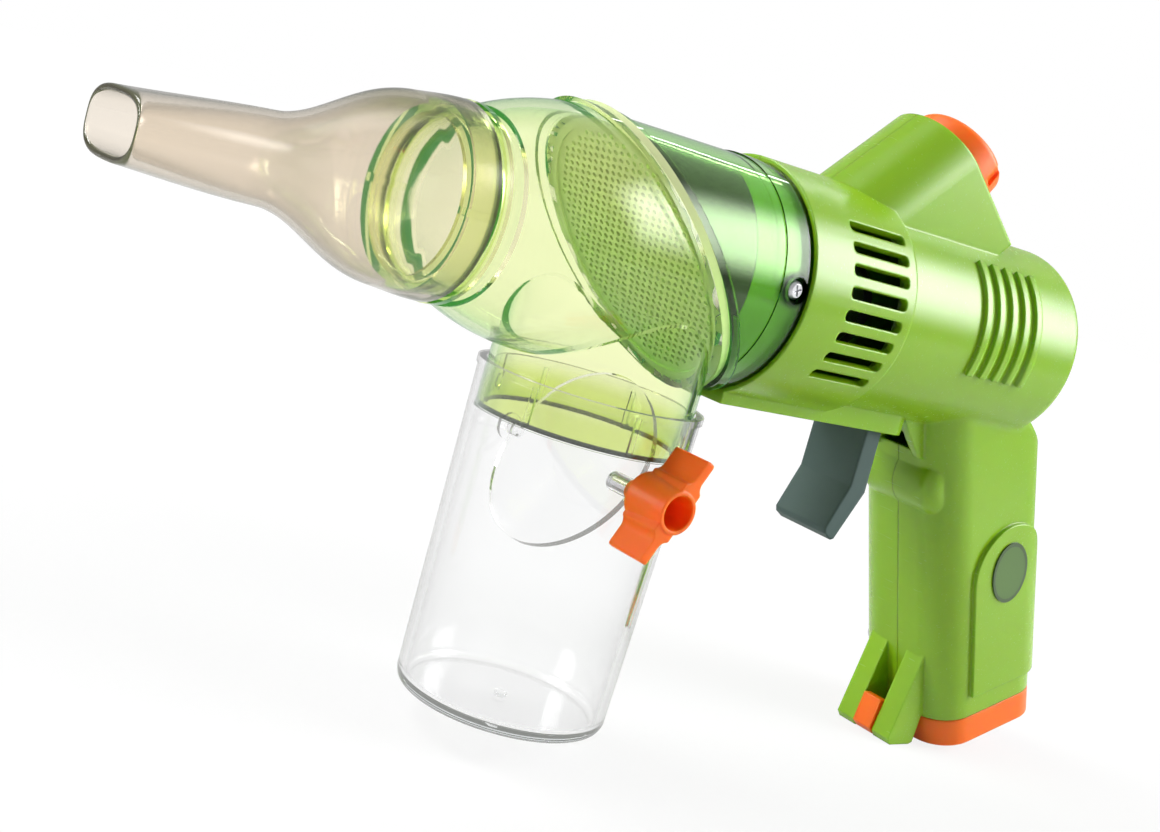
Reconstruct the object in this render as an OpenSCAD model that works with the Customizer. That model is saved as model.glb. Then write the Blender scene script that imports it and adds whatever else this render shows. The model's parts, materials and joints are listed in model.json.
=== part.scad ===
// Insect aspirator: pistol-shaped battery vacuum with a clear collecting jar.
// Millimetres. Z up, barrel along X with the mouth towards -X, mid-plane y = 0.
// Origin: centre of the jar's base.

/* [Barrel] */
// Height of the barrel axis above the jar's rim
axis_rise = 33; // [31:0.1:36]
// Outer radius of the clear green chamber
chamber_r = 28.2; // [27.5:0.05:29]
// Wall of the clear green mouldings
chamber_wall = 2; // [1.4:0.1:2.6]
// Outer radius of the neck that carries the nozzle
neck_r = 20; // [18:0.1:21]
// Front end of the neck along X
neck_front = -61.8; // [-66:0.1:-58]
// Rear end of the clear sleeve, where the drum starts
sleeve_end = 31; // [28:0.1:34]

/* [Insect screen] */
// Where the oblique screen crosses the barrel axis
screen_x = 1.3; // [0:0.1:3]
// Tilt of the screen's normal above the barrel axis
screen_tilt = 40.56; // [36:0.01:46]
// Distance between holes
screen_pitch = 2.2; // [2:0.05:3.2]
// Hole diameter
screen_hole = 1.3; // [0.9:0.05:1.6]

/* [Nozzle] */
// Length of the nozzle
nozzle_len = 73.3; // [62:0.1:84]
// Width of the mouth
mouth_w = 24.3; // [20:0.1:28]
// Height of the mouth
mouth_h = 12.6; // [10:0.1:16]
// Nozzle wall
nozzle_wall = 1.4; // [1.2:0.1:2]

/* [Jar] */
// Height of the jar
jar_h = 80.3; // [76:0.1:84]
// Outer radius at the rim
jar_rim_r = 27.2; // [26.8:0.05:27.8]
// Outer radius at the base
jar_base_r = 25.9; // [25.4:0.05:26.4]
// Depth of the socket that takes the chamber's sleeve
socket_d = 10.9; // [9:0.1:13]
// Depth of the flap's pivot below the rim
flap_drop = 18; // [17:0.1:20]
// Radius of the flap disc
flap_r = 23.3; // [22.5:0.05:23.5]
// Tilt of the flap from upright as it stands
flap_tilt = 25.7; // [0:0.1:60]

/* [Housing] */
// Outer radius of the vented drum
drum_r = 29.6; // [29:0.05:31]
// Rear end of the drum along X
drum_end = 69.3; // [66:0.1:72]
// Outer radius of the rear body
body_r = 27.3; // [26.5:0.05:28]
// Rear end of the body along X
body_end = 144.5; // [140:0.1:148]
// Wall of the lime housing
wall = 2.2; // [1.8:0.1:2.6]
// Number of vent slots on each side
vents = 8; // [5:1:9]
// Height of one vent slot
vent_h = 2.9; // [2:0.1:3.4]

/* [Grip] */
// Depth of the grip's base below the barrel axis
grip_drop = 112.5; // [104:0.1:124]
// Rake of the grip, lower end to the rear
rake = 25.7; // [20:0.1:30]
// Half the grip's depth
grip_a = 22.5; // [21.5:0.1:24]
// Half the grip's width
grip_b = 18; // [17:0.1:19]
// Corner radius of the grip's section
grip_round = 11; // [8:0.1:14]
// Rake of the grip's base
base_rake = 20; // [18:0.1:24]
// Height of the battery door
door_h = 8.6; // [7:0.1:10]

/* [Trigger and dial] */
// Width of the trigger
trigger_w = 19; // [15:0.1:20]
// Travel of the trigger
trigger_travel = 5; // [3:0.1:6]
// Radius of the selector dial
dial_r = 13.6; // [11:0.1:14]
// Height of the dial above the fin
dial_h = 7.4; // [5:0.1:9]

/* [Hidden] */
$fn = 64;
// Gap between pieces that move past each other
slip = 0.35;
// Radial play of a running pivot
play = 0.06;
// Overlap that makes cuts clean
eps = 0.02;

// Barrel axis and flap pivot above the jar's base
axis_z = jar_h + axis_rise;
flap_z = jar_h - flap_drop;
// Nozzle ends along X
nozzle_rear = neck_front + 6.1;
nozzle_mouth = nozzle_rear - nozzle_len;

// Grip base centre, on the grip's axis, which keeps its place behind the body
grip_x = body_end + grip_drop * tan(rake) - 20.54;
grip_z = axis_z - grip_drop;
// Roll above the fingers, up the grip from its base
roll_h = grip_drop / cos(rake) - 38.3;
// Hinge of the battery door behind the grip
hinge_x = grip_a - 0.1;
// Fin: ridge end, half-width, rise of the ridge and tilt of the dial's face
fin_x = drum_end + 11.7;
fin_z = axis_z + 52;
fin_b = 14.4;
fin_rise = 43;
face_tilt = 55;
// Dial centre down the face from the ridge end
dial_t = 19.4;

// Clear sleeve for the jar
sleeve_r = jar_rim_r - 2;
sleeve_in = sleeve_r - 1.7;
sleeve_bottom = jar_h - socket_d + 0.3;
jar_socket_r = sleeve_r + slip;
jar_wall = 2.2;
// Back of the knob, and the outside boss that carries it
knob_back = jar_rim_r + 1;
chamber_in = chamber_r - chamber_wall;

// Fan and motor
spigot_r = chamber_in - 0.4;
spigot_front = sleeve_end - 17;
shroud_in = 21.9;
fan_r = shroud_in - 0.9;
fan_front = sleeve_end - 2.5;
mount_x = sleeve_end + 10;
motor_r = 12.1;
motor_len = 31;
shaft_r = 1;

// Battery cells: AA
cell_r = 7.1;
cell_len = 49.2;
cell_pitch = 2 * cell_r + 0.4;
cell_row = 4.6;
cell_z = 14;

// Underside of the keel and the trigger's carriage above it
keel_z = axis_z - 30;
trigger_z = keel_z + wall + slip;
slot_front = drum_end + 19.2;
slot_rear = slot_front + 6.5 + trigger_travel;
keel_b = 11.7;
keel_end = slot_rear + 5;
keel_nose = 8;
// Half-width of the trigger's carriage
carriage_b = 6.3;
// Spring between the trigger's carriage and the wall behind it
spring_front = slot_front + 8.5;
spring_rear = spring_front + 11 + trigger_travel;
// Sleeve screws
sleeve_screw_x = sleeve_end - 3.6;

// Colours of the real plastics and metals
lime = [0.52, 0.74, 0.2];
clear_green = [0.8, 0.92, 0.55, 0.45];
smoke = [0.6, 0.55, 0.47, 0.5];
clear = [0.92, 0.94, 0.95, 0.3];
orange = [0.94, 0.42, 0.1];
grey = [0.28, 0.33, 0.33];
steel = [0.75, 0.76, 0.78];

// Frames

// Local z runs along the barrel towards the rear
module on_barrel(x = 0) { translate([x, 0, axis_z]) rotate([0, 90, 0]) children(); }

// Local x is the screen's normal, local z runs up the screen
module on_screen() { translate([screen_x, 0, axis_z]) rotate([0, -screen_tilt, 0]) children(); }

// Local z runs up the grip, local x to its rear
module on_grip() { translate([grip_x, 0, grip_z]) rotate([0, -rake, 0]) children(); }

// Local z is the normal of the grip's base, local x runs to its rear
module on_base() { translate([grip_x, 0, grip_z]) rotate([0, -base_rake, 0]) children(); }

// Local z is the normal of the dial's face, local x runs down the face
module on_face(t = 0, h = 0)
    translate([fin_x, 0, fin_z]) rotate([0, 90 - face_tilt, 0]) translate([t, 0, h]) children();

// Local z runs towards -Y at the flap's pivot, local x up the flap
module on_pivot() { translate([0, 0, flap_z]) rotate([0, flap_tilt - 90, 0]) rotate([90, 0, 0]) children(); }

module barrel(x0, x1, r) { on_barrel(x0) cylinder(h = x1 - x0, r = r); }

// Half-space in front of (side = -1) or behind (side = 1) the screen at offset d
module screen_side(d, side)
    on_screen() translate([side > 0 ? d : d - 200, -100, -150]) cube([200, 200, 300]);

// Plain 2-D helpers

module round_rect(a, b, r) {
    square([2 * a, 2 * (b - r)], center = true);
    square([2 * (a - r), 2 * b], center = true);
    for (i = [-1, 1], j = [-1, 1]) translate([i * (a - r), j * (b - r)]) circle(r);
}

module slot_2d(l, w) {
    r = w * 0.42;
    round_rect(l / 2, w / 2, r);
}

function oval(a, b, n = 72) = [for (i = [0 : n - 1]) [a * cos(360 * i / n), b * sin(360 * i / n)]];

// Clear green chamber

module chamber_profile(g) {
    bow = 64;
    bow_x = neck_front + 39.8;
    bow_front = neck_front + 11.8 + g;
    // neck, flange, long bow of the shoulder, and tube
    translate([0, neck_front - g]) square([neck_r - 0.9 * g, 20 + g]);
    if (g == 0) translate([0, neck_front + 7.3]) square([neck_r + 1.9, 1.7]);
    intersection() {
        translate([chamber_r - bow, bow_x]) circle(bow - g, $fn = 256);
        translate([0, bow_front]) square([40, bow_x - bow_front + 1]);
    }
    translate([0, bow_x]) square([chamber_r - g, 80]);
}

module suction_chamber() {
    color(clear_green) difference() {
        union() {
            difference() {
                union() {
                    on_barrel() rotate_extrude() chamber_profile(0);
                    translate([0, 0, sleeve_bottom])
                        cylinder(h = axis_z - sleeve_bottom, r = sleeve_r);
                    // oblique flange that clamps the screen
                    intersection() {
                        barrel(-60, 60, chamber_r + 0.9);
                        on_screen() translate([-3.4, -50, -60]) cube([2.2, 100, 120]);
                    }
                    // bayonet pins
                    for (a = [-62, 118]) rotate([0, 0, a])
                        translate([sleeve_r - 1, 0, sleeve_bottom + 4.4]) rotate([0, 90, 0])
                            cylinder(h = 1.9, r = 1.7);
                }
                on_barrel() rotate_extrude() chamber_profile(chamber_wall);
                translate([0, 0, sleeve_bottom - 1])
                    cylinder(h = axis_z - sleeve_bottom, r = sleeve_in);
            }
            // lip inside the neck's mouth
            on_barrel(neck_front) difference() {
                cylinder(h = 1.6, r = neck_r - 0.9 * chamber_wall + eps);
                translate([0, 0, -1]) cylinder(h = 4, r = neck_r - 3.4);
            }
            // stiffening ribs inside the sleeve
            for (a = [20 : 60 : 320]) rotate([0, 0, a])
                translate([sleeve_in - 0.8, -0.6, sleeve_bottom]) cube([0.9, 1.2, 9]);
            // keys inside the neck
            for (s = [-1, 1]) translate([neck_front, s * (neck_r - 2.3) - 0.6, axis_z - 0.8])
                cube([9, 1.2, 1.6]);
        }
        screen_side(-1.2, 1);
    }
}

module rear_sleeve() {
    color(clear_green) difference() {
        union() {
            intersection() {
                barrel(-60, sleeve_end, chamber_r);
                screen_side(1.2, 1);
            }
            intersection() {
                barrel(-60, sleeve_end, chamber_r + 0.9);
                on_screen() translate([1.2, -50, -60]) cube([2.2, 100, 120]);
            }
            // thickened band at the rear
            intersection() {
                barrel(sleeve_end - 9, sleeve_end, chamber_r + 0.35);
                screen_side(1.2, 1);
            }
        }
        barrel(-70, 70, chamber_in);
        // screw recesses
        for (s = [-1, 1])
            translate([sleeve_screw_x, s * (chamber_in - 3), axis_z + 1.7]) rotate([-90 * s, 0, 0]) {
            cylinder(h = 12, r = 1.3);
            translate([0, 0, 3.5]) cylinder(h = 12, r = 3.2);
        }
        // room for the jar sleeve's rear wall
        cylinder(h = 86, r = sleeve_r + 0.2);
    }
}

module insect_screen() {
    c = cos(screen_tilt);
    rim = chamber_r + 0.7;
    open = chamber_in - 1;
    field = open - screen_hole;
    rows = floor(field / c / (screen_pitch * 0.87));
    cols = ceil(field / screen_pitch);
    color([0.78, 0.88, 0.6]) on_screen() rotate([90, 0, 90]) {
        translate([0, 0, -1.2]) linear_extrude(2.4) difference() {
            polygon(oval(rim, rim / c));
            polygon(oval(open, open / c));
        }
        translate([0, 0, -0.55]) linear_extrude(1.1) difference() {
            polygon(oval(open + eps, (open + eps) / c));
            for (j = [-rows : rows], i = [-cols : cols]) {
                px = (i + (j % 2 == 0 ? 0 : 0.5)) * screen_pitch;
                py = j * screen_pitch * 0.87;
                if (pow(px / field, 2) + pow(py * c / field, 2) < 1)
                    translate([px, py]) circle(screen_hole / 2, $fn = 16);
            }
        }
    }
}

// Pan-head screw, head at z = 0 upwards, shank downwards
module pan_screw(head, height, shank, length) {
    difference() {
        union() {
            cylinder(h = height * 0.55, r = head);
            translate([0, 0, height * 0.55]) cylinder(h = height * 0.45, r1 = head, r2 = head * 0.72);
        }
        for (a = [0, 90]) rotate([0, 0, a]) translate([-head * 0.62, -head * 0.12, height * 0.45])
            cube([head * 1.24, head * 0.24, height]);
    }
    translate([0, 0, -length]) cylinder(h = length + eps, r = shank);
}

module sleeve_screws() {
    color(steel) for (s = [-1, 1])
        translate([sleeve_screw_x, s * (chamber_in + 0.5), axis_z + 1.7]) rotate([-90 * s, 0, 0])
            rotate([0, 0, 20]) pan_screw(2.2, 1.5, 1, 2.6);
}

// Nozzle

// Half-width, half-height, centre drop and squareness along the nozzle, 0 at the rear rim
function nz_x(u) = nozzle_rear + u * (nozzle_mouth - nozzle_rear);
function blend(a, b, u) = a + (b - a) * u;
function ease(u) = u * u * (3 - 2 * u);
function ramp(a, b, x) = ease(min(1, max(0, (x - a) / (b - a))));
function tube_h(x) = blend(9.6, mouth_h / 2, ramp(nozzle_rear - 36.3, nozzle_mouth - 14, x));
function tube_w(x) = blend(9.9, mouth_w / 2, ramp(nozzle_rear - 34.3, nozzle_mouth - 6, x));
function bell(x) =
    blend(neck_r + slip + nozzle_wall, neck_r + 0.3, ramp(nozzle_rear, nozzle_rear - 16.3, x));
function half_h(x) = blend(bell(x), tube_h(x), ramp(nozzle_rear - 12.3, nozzle_rear - 41.3, x));
function half_w(x) = blend(bell(x), tube_w(x), ramp(nozzle_rear - 12.3, nozzle_rear - 41.3, x));
function drop(x) = -1.1 * ramp(nozzle_rear - 14.3, nozzle_mouth, x);
function square_n(x) = blend(2, 3, ramp(nozzle_rear - 39.3, nozzle_mouth, x));
function sgn_pow(v, p) = v < 0 ? -pow(-v, p) : pow(v, p);
function ring(x, g, n) = let (w = half_w(x) - g, h = half_h(x) - g, p = 2 / square_n(x))
    [for (i = [0 : n - 1]) let (a = 360 * i / n)
        [x, w * sgn_pow(cos(a), p), axis_z + drop(x) + h * sgn_pow(sin(a), p)]];

module nozzle() {
    n = 56;
    outer = [for (u = [0, 0.08, 0.16, 0.22, 0.28, 0.34, 0.4, 0.46, 0.52, 0.58, 0.66, 0.76, 0.88, 1])
        nz_x(u)];
    inner = [for (i = [len(outer) - 1 : -1 : 2]) outer[i]];
    socket = neck_r + slip;
    rings = concat([for (x = outer) ring(x, 0, n)],
                   [for (x = inner) ring(x, nozzle_wall, n)],
                   [for (x = [nozzle_rear - 7.3, nozzle_rear]) [for (i = [0 : n - 1]) let (a = 360 * i / n)
                       [x, socket * cos(a), axis_z + socket * sin(a)]]]);
    m = len(rings);
    points = [for (r = rings, p = r) p];
    faces = [for (k = [0 : m - 1], i = [0 : n - 1]) let (k1 = (k + 1) % m, i1 = (i + 1) % n)
        each [[k * n + i, k1 * n + i, k1 * n + i1], [k * n + i, k1 * n + i1, k * n + i1]]];
    color(smoke) polyhedron(points, faces, convexity = 6);
}

// Jar and flap

function jar_r(z) = jar_base_r + (jar_rim_r - jar_base_r) * z / jar_h;

module jar_outline(r0, r1, z0, z1, round) {
    difference() {
        polygon([[0, z0], [r0, z0], [r1, z1], [0, z1]]);
        translate([r0 - round, z0 - eps]) square([round + 1, round]);
    }
    translate([0, z0]) square([r0 - round + eps, round]);
    translate([r0 - round, z0 + round]) circle(round);
}

module collecting_jar() {
    lower_top = jar_h - socket_d;
    color(clear) difference() {
        union() {
            rotate_extrude() difference() {
                union() {
                    jar_outline(jar_base_r, jar_rim_r, 0, jar_h, 3);
                    translate([0, jar_h - 1.6]) square([jar_rim_r + 0.4, 1.6]);
                }
                jar_outline(jar_base_r - jar_wall, jar_r(lower_top) - jar_wall, 2.2, lower_top + eps, 2);
                translate([0, lower_top]) square([jar_socket_r, socket_d + 1]);
            }
            // gate mark on the floor
            translate([0, 0, 2.2 - eps]) cylinder(h = 0.5, r = 1.6);
            // bearing bosses for the flap's pivots
            translate([0, 0, flap_z]) rotate([90, 0, 0]) translate([0, 0, jar_r(flap_z) - 1])
                cylinder(h = knob_back - slip - jar_r(flap_z) + 1, r = 4.4);
            translate([0, 0, flap_z]) rotate([-90, 0, 0]) translate([0, 0, jar_r(flap_z) - 1])
                cylinder(h = 2.2, r = 3.6);
        }
        // pivot holes
        translate([0, 0, flap_z]) rotate([90, 0, 0]) cylinder(h = 60, r = 2.6 + play);
        translate([0, 0, flap_z]) rotate([-90, 0, 0]) cylinder(h = jar_r(flap_z) + 0.2, r = 1.8 + play);
        // slots for the bayonet pins
        for (a = [-62, 118]) rotate([0, 0, a]) translate([sleeve_r - 3, -2.1, sleeve_bottom + 2])
            cube([4.1, 4.2, 30]);
    }
}

module flap_disc() {
    color([0.85, 0.88, 0.88, 0.35]) on_pivot() difference() {
        union() {
            rotate([90, 0, 0]) translate([0, 0, -0.8]) cylinder(h = 1.6, r = flap_r);
            // boss that takes the screw, and far pivot pin
            translate([0, 0, flap_r - 6.5]) cylinder(h = 6.5, r = 2.4);
            translate([0, 0, -jar_r(flap_z)]) cylinder(h = 6, r = 1.8);
        }
        translate([0, 0, flap_r - 7.5]) cylinder(h = 10, r = 1.25);
    }
}

module wing_knob() {
    back = knob_back;
    depth = 11.7;
    span = 26.8;
    blade = 2.4;
    color(orange) on_pivot() difference() {
        union() {
            translate([0, 0, back]) cylinder(h = depth, r1 = 5.9, r2 = 5);
            // stub through the jar's wall
            translate([0, 0, flap_r + 0.02]) cylinder(h = back - flap_r, r = 2.6);
            // wings with filleted roots
            translate([0, 0, back + 0.2]) linear_extrude(depth - 0.5) {
                round_rect(span / 2, blade / 2, 0.7);
                for (i = [-1, 1]) difference() {
                    translate([i * 6.2 - 2.4, -2.8]) square([4.8, 5.6]);
                    for (j = [-1, 1]) translate([i * 8.6, j * (blade / 2 + 2.4)]) circle(2.4);
                    for (j = [-1, 1]) translate([i * 8.6 - 2.4, j * 3.6 - 1]) square([4.8, 2]);
                }
            }
        }
        translate([0, 0, back + 3]) cylinder(h = depth, r1 = 3.9, r2 = 4.2);
        translate([0, 0, 18]) cylinder(h = 20, r = 1.25);
    }
}

module flap_screw() {
    color(steel) on_pivot() translate([0, 0, knob_back + 3.05]) pan_screw(2.5, 1.8, 1.2, 15);
}

// Lime housing

module grip_section(g) { round_rect(grip_a - g, grip_b - g, grip_round - g); }

// Closed outline of the whole housing, shrunk by g
module housing_form(g) {
    // spigot inside the clear sleeve, cut along the screen
    intersection() {
        barrel(spigot_front - 2 * g, sleeve_end + 4, spigot_r - 0.8 * g);
        screen_side(5 - 2 * g, 1);
    }
    on_barrel() rotate_extrude() {
        // drum
        difference() {
            translate([0, sleeve_end + g]) square([drum_r - g, drum_end - sleeve_end - 2 * g]);
            if (g == 0) translate([drum_r - 1.5, drum_end - 1.5]) difference() {
                square(3);
                circle(1.5);
            }
        }
        // rear body with a rounded rear edge
        difference() {
            translate([0, 60]) square([body_r - g, body_end - 60 - g]);
            translate([body_r - 3, body_end - 3]) difference() {
                square(6);
                circle(max(3 - g, 0.6));
            }
        }
    }
    // fin
    difference() {
        translate([fin_x, 0, fin_z]) rotate([0, 90 - fin_rise, 0]) translate([0, 0, -40 + g])
            linear_extrude(90) {
                translate([fin_b, 0]) circle(fin_b - g);
                translate([fin_b, -fin_b + g]) square([28, 2 * (fin_b - g)]);
            }
        on_face(-50, -g) translate([0, -50, 0]) cube([150, 100, 80]);
    }
    // keel under the drum, with a rounded nose towards the grip
    translate([0, 0, keel_z + g]) linear_extrude(20) {
        translate([sleeve_end + g, -keel_b + g])
            square([keel_end - 2 * keel_nose - sleeve_end - g, 2 * (keel_b - g)]);
        translate([keel_end - 2 * keel_nose, 0]) round_rect(2 * keel_nose - g, keel_b - g, keel_nose - g);
    }
    // grip with its shoulder behind the body, and a fillet under the body on each side
    intersection() {
        union() {
            on_grip() translate([0, 0, -10]) linear_extrude(grip_drop / cos(rake)) grip_section(g);
            if (g == 0) grip_fillets(9);
        }
        on_base() translate([-150, -50, door_h + 0.3 - (g > 0 ? 1 : 0)]) cube([300, 100, 200]);
        translate([body_end, 50, axis_z]) rotate([90, 0, 0]) linear_extrude(100)
            polygon([[-70, -160], [120, -160], [120, -140], [24.1 - g, -40.7], [15.5 - g, -28.3 - g],
                     [13.7 - g, -25.9 - g], [9.5 - g, -23 - g], [-9.5, -12.3 - g], [-44.5, 5.7]]);
    }
}

// Concave fillets of radius r, tangent to the grip's sides and to the body
module grip_fillets(r) {
    y = grip_b + r;
    down = sqrt(pow(body_r + r, 2) - y * y);
    edge = body_r * y / (body_r + r);
    intersection() {
        translate([0, 0, axis_z - down]) difference() {
            translate([60, -edge, 0]) cube([140, 2 * edge, down]);
            for (s = [-1, 1]) translate([50, s * y, 0]) rotate([0, 90, 0]) cylinder(h = 160, r = r);
        }
        on_grip() translate([-14, -50, 0]) cube([22, 100, 200]);
    }
}

module rib_band(x) {
    on_barrel(x) rotate([0, 0, 90]) for (s = [0, 1]) mirror([s, 0, 0]) rotate([0, 0, -18])
        rotate_extrude(angle = 65) translate([body_r - 0.4, -1.25]) square([1.5, 2.5]);
}

module housing_bosses(s) {
    for (p = screw_points()) translate([p[0], 0, p[1]]) rotate([-90 * s, 0, 0])
        cylinder(h = p[2] - 1, r = 3);
}

// Screw places: x, z and the half-width of the housing there
function grip_xy(a, h) = [grip_x + a * cos(rake) - h * sin(rake), grip_z + a * sin(rake) + h * cos(rake)];
function screw_points() = [[fin_x - 3, fin_z - 15.8, fin_b], [body_end - 13.5, axis_z + 2.7, body_r - 0.5],
    concat(grip_xy(-16.2, 27), [grip_b - 0.6]), concat(grip_xy(4, 75), [grip_b])];

module housing_shell() {
    difference() {
        union() {
            difference() {
                union() {
                    housing_form(0);
                    for (i = [0 : 4]) rib_band(body_end - 44.2 + 5.55 * i);
                    // roll above the fingers
                    on_grip() translate([-grip_a + 7.5, 0, roll_h]) rotate([90, 0, 0]) rotate_extrude()
                        intersection() {
                            round_rect(10, 14.5, 5);
                            translate([0, -20]) square([20, 40]);
                        }
                    // cheeks that carry the grip's front forward to the body
                    for (s = [-1, 1]) translate([keel_end, s * 8.2 + 1.2, keel_z]) rotate([90, 0, 0])
                        linear_extrude(2.4)
                            polygon([[9, -5.6], [3.2, -0.7], [-1.9, 4.4], [-1.9, 8], [13, 8], [13, -5.6]]);
                    // raised side panels
                    on_grip() intersection() {
                        linear_extrude(90) grip_section(-1.2);
                        for (s = [-1, 1]) translate([0, s * grip_b, 0]) rotate([90, 0, 0])
                            linear_extrude(9, center = true) intersection() {
                                union() {
                                    translate([-10.7, 5]) square([29.2, 49]);
                                    translate([3.9, 54]) circle(14.6);
                                }
                                rotate(base_rake - rake) translate([-40, door_h + 7.2]) square([80, 90]);
                            }
                    }
                    // buttress ribs beside the door's latch
                    on_grip() for (s = [-1, 1]) translate([0, s * 7, 0]) rotate([90, 0, 0])
                        linear_extrude(6.5, center = true)
                            polygon([[-grip_a + 3, 36], [-grip_a - 14.7, 10.5], [-grip_a - 14, 8.2],
                                     [-grip_a - 6.1, 4.6], [-grip_a - 4.6, 4.6], [-grip_a - 0.7, 12],
                                     [-grip_a + 3, 12.2]]);
                }
                housing_form(wall);
                // open the spigot towards the fan
                barrel(-20, spigot_front + 8, spigot_r - 0.8 * wall);
            }
            // screw posts and the wall behind the trigger's spring
            intersection() {
                housing_form(1);
                union() {
                    for (s = [-1, 1]) housing_bosses(s);
                    translate([spring_rear, -9.8, keel_z]) cube([2, 19.6, trigger_z + 9 - keel_z]);
                }
            }
        }
        // vent slots
        for (s = [-1, 1], i = [0 : vents - 1]) translate([drum_end - 14.5, 0, axis_z])
            rotate([s * (41.5 - 75.5 * i / (vents - 1)), 0, 0]) translate([0, s * 24, 0])
                rotate([-90 * s, 0, 0]) linear_extrude(12) slot_2d(20.8, vent_h);
        // trigger slot
        translate([slot_front, -trigger_w / 2 - 0.4, keel_z - 3])
            cube([slot_rear - slot_front, trigger_w + 0.8, 7]);
        // opening between the keel and the roll, and the carriage's run above it
        translate([slot_rear, -carriage_b - 0.4, keel_z - 4.2])
            cube([spring_rear + 5 - slot_rear, 2 * carriage_b + 0.8, 4]);
        translate([slot_rear - 1, -carriage_b - 0.4, trigger_z - slip])
            cube([spring_rear - slot_rear + 1, 2 * carriage_b + 0.8, 7 + 2 * slip]);
        // hole for the dial's spindle
        on_face(dial_t, -8) cylinder(h = 20, r = 3.5 + play);
        // sleeve screw holes
        for (s = [-1, 1]) translate([sleeve_screw_x, 0, axis_z + 1.7]) rotate([-90 * s, 0, 0])
            cylinder(h = 30, r = 1.05);
        // housing screws: pilot in the left half, clearance and head recess in the right half
        for (p = screw_points()) translate([p[0], 0, p[1]]) {
            rotate([90, 0, 0]) cylinder(h = 9.6, r = 1.3);
            rotate([-90, 0, 0]) cylinder(h = 40, r = 1.5);
            translate([0, p[2] - 2.6, 0]) rotate([-90, 0, 0]) cylinder(h = 12, r = 2.8);
        }
        // groove for the door's hinge bead
        on_base() translate([hinge_x, 0, door_h + 0.15]) rotate([90, 0, 0])
            cylinder(h = 12 + 2 * slip, r = 1.3 + slip, center = true);
    }
}

module half(s) {
    intersection() {
        children();
        translate([-50, s > 0 ? 0 : -60, -40]) cube([300, 60, 240]);
    }
}

module housing_left() { color(lime) half(-1) housing_shell(); }
module housing_right() { color(lime) half(1) housing_shell(); }

module housing_screws() {
    color(steel) for (p = screw_points()) translate([p[0], p[2] - 2.6, p[1]]) rotate([-90, 0, 0])
        pan_screw(2.5, 1.6, 1.2, p[2] - 2.6 + 8);
}

module badge_inlay() {
    color([0.45, 0.5, 0.46]) on_grip() translate([3.4, -grip_b - 1.2, 54]) rotate([90, 0, 0])
        linear_extrude(0.5) polygon(oval(7.4, 9.5));
}

// Fan and motor

module fan_shroud() {
    color(grey) difference() {
        intersection() {
            union() {
                barrel(-40, spigot_front, spigot_r);
                barrel(-40, mount_x, spigot_r - 0.8 * wall - 0.3);
            }
            screen_side(5, 1);
        }
        barrel(-50, 60, shroud_in);
    }
}

module motor_mount() {
    outer = drum_r - wall - play;
    color(grey) on_barrel(mount_x) difference() {
        union() {
            cylinder(h = 2, r = outer);
            cylinder(h = 8, r = motor_r + 1.6);
        }
        translate([0, 0, 2]) cylinder(h = 10, r = motor_r + play);
        translate([0, 0, -1]) cylinder(h = 6, r = 3.6);
        for (s = [-1, 1]) translate([0, s * 8, -1]) cylinder(h = 6, r = 1.3);
        // air windows
        for (a = [0 : 45 : 315]) rotate([0, 0, a + 22.5]) translate([0, 0, -1]) linear_extrude(4)
            intersection() {
                difference() {
                    circle(outer - 2.6);
                    circle(motor_r + 2.4);
                }
                translate([0, -4]) square([40, 8]);
            }
    }
}

module motor_can() {
    color(steel) on_barrel(mount_x + 2) difference() {
        union() {
            cylinder(h = motor_len - 5, r = motor_r);
            translate([0, 0, -1.6]) cylinder(h = 2, r = 3.4);
        }
        translate([0, 0, 1]) cylinder(h = 40, r = motor_r - 1);
        translate([0, 0, -5]) cylinder(h = 20, r = shaft_r + play);
        for (s = [-1, 1]) translate([0, s * 8, -1]) cylinder(h = 6, r = 0.9);
        // cooling windows
        for (a = [0, 180]) rotate([0, 0, a]) translate([motor_r - 3, -3, 18]) cube([6, 6, 5]);
    }
}

module motor_end_cap() {
    color([0.12, 0.12, 0.13]) on_barrel(mount_x + motor_len - 3) difference() {
        union() {
            cylinder(h = 3.4, r = motor_r);
            translate([0, 0, 3]) cylinder(h = 2, r = 4);
            for (s = [-1, 1]) translate([-1.2, s * 8.6 - 0.3, 3]) cube([2.4, 0.6, 5]);
        }
        translate([0, 0, -1]) cylinder(h = 4, r = shaft_r + play);
    }
}

module motor_screws() {
    color(steel) for (s = [-1, 1]) on_barrel(mount_x) translate([0, s * 8, 0]) rotate([180, 0, 0])
        pan_screw(1.9, 1.2, 0.85, 4.4);
}

module impeller() {
    blades = 9;
    depth = 10;
    color([0.2, 0.21, 0.22]) on_barrel(fan_front) difference() {
        union() {
            translate([0, 0, depth - 1.4]) cylinder(h = 1.4, r = fan_r);
            cylinder(h = depth, r1 = 3.4, r2 = 6);
            translate([0, 0, 0.4]) linear_extrude(depth - 1) intersection() {
                difference() {
                    circle(fan_r - 0.2);
                    circle(2);
                }
                for (i = [0 : blades - 1]) rotate([0, 0, 360 * i / blades]) translate([10, -13])
                    difference() {
                        circle(16.4);
                        circle(15.2);
                        translate([-30, -30]) square([60, 30]);
                        translate([-60, -30]) square([60, 60]);
                    }
            }
        }
        translate([0, 0, 1.5]) cylinder(h = 40, r = shaft_r);
    }
}

module motor_shaft() { color(steel) barrel(fan_front + 1.5, mount_x + motor_len - 2, shaft_r); }

// Controls

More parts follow.
